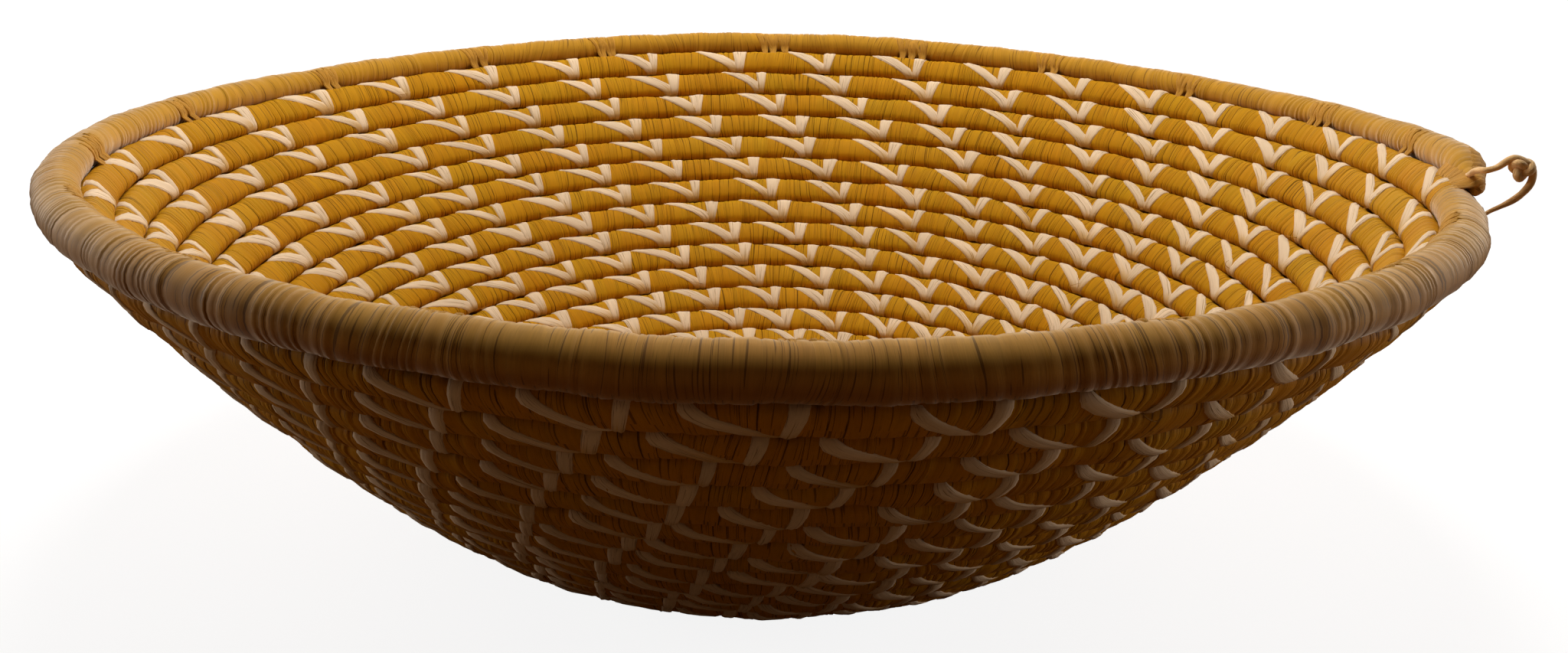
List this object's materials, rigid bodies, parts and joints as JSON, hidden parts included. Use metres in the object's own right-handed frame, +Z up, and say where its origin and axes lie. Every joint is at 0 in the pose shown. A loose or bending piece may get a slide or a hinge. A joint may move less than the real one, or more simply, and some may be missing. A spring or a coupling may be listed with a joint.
{
  "type": "coiled basket",
  "caption": "Wide coiled basket bowl with a flat base and flaring wall, its coil rows sewn one on another, a thick wrapped rim and a small knotted hanging loop.",
  "frame": {"origin": "middle of the flat base, on the floor", "axes": "+Z up through the bowl's mouth; the coil's loose end and the hanging loop lie towards +X, a little towards -Y"},
  "size_m": [0.3042, 0.3033, 0.0937],
  "materials": {
    "raffia_coil": "matt dyed raffia wrapping over a grass bundle",
    "raffia_rim": "matt dyed raffia, more worn and paler on top",
    "raffia_cord": "matt twisted raffia cord"
  },
  "bodies": {
    "basket": {"centre_curl": "raffia_coil", "base_turn_01": "raffia_coil", "base_turn_02": "raffia_coil", "base_turn_03": "raffia_coil", "base_turn_04": "raffia_coil", "base_turn_05": "raffia_coil", "base_turn_06": "raffia_coil", "base_turn_07": "raffia_coil", "base_turn_08": "raffia_coil", "wall_turn_01": "raffia_coil", "wall_turn_02": "raffia_coil", "wall_turn_03": "raffia_coil", "wall_turn_04": "raffia_coil", "wall_turn_05": "raffia_coil", "wall_turn_06": "raffia_coil", "wall_turn_07": "raffia_coil", "wall_turn_08": "raffia_coil", "wall_turn_09": "raffia_coil", "wall_turn_10": "raffia_coil", "wall_turn_11": "raffia_coil", "wall_turn_12": "raffia_coil", "wall_turn_13": "raffia_coil", "wall_turn_14": "raffia_coil", "rim_turn": "raffia_rim"},
    "hanging_loop": {"loop_strand_upper": "raffia_cord", "loop_strand_lower": "raffia_cord", "loop_knot": "raffia_cord"}
  },
  "joints": [
    {"name": "loop_swing", "type": "hinge", "parent": "basket", "child": "hanging_loop", "pos_m": [0.13787, -0.04613, 0.08232], "axis": [0.3173, 0.9483, 0], "range_deg": [-35, 50]}
  ]
}
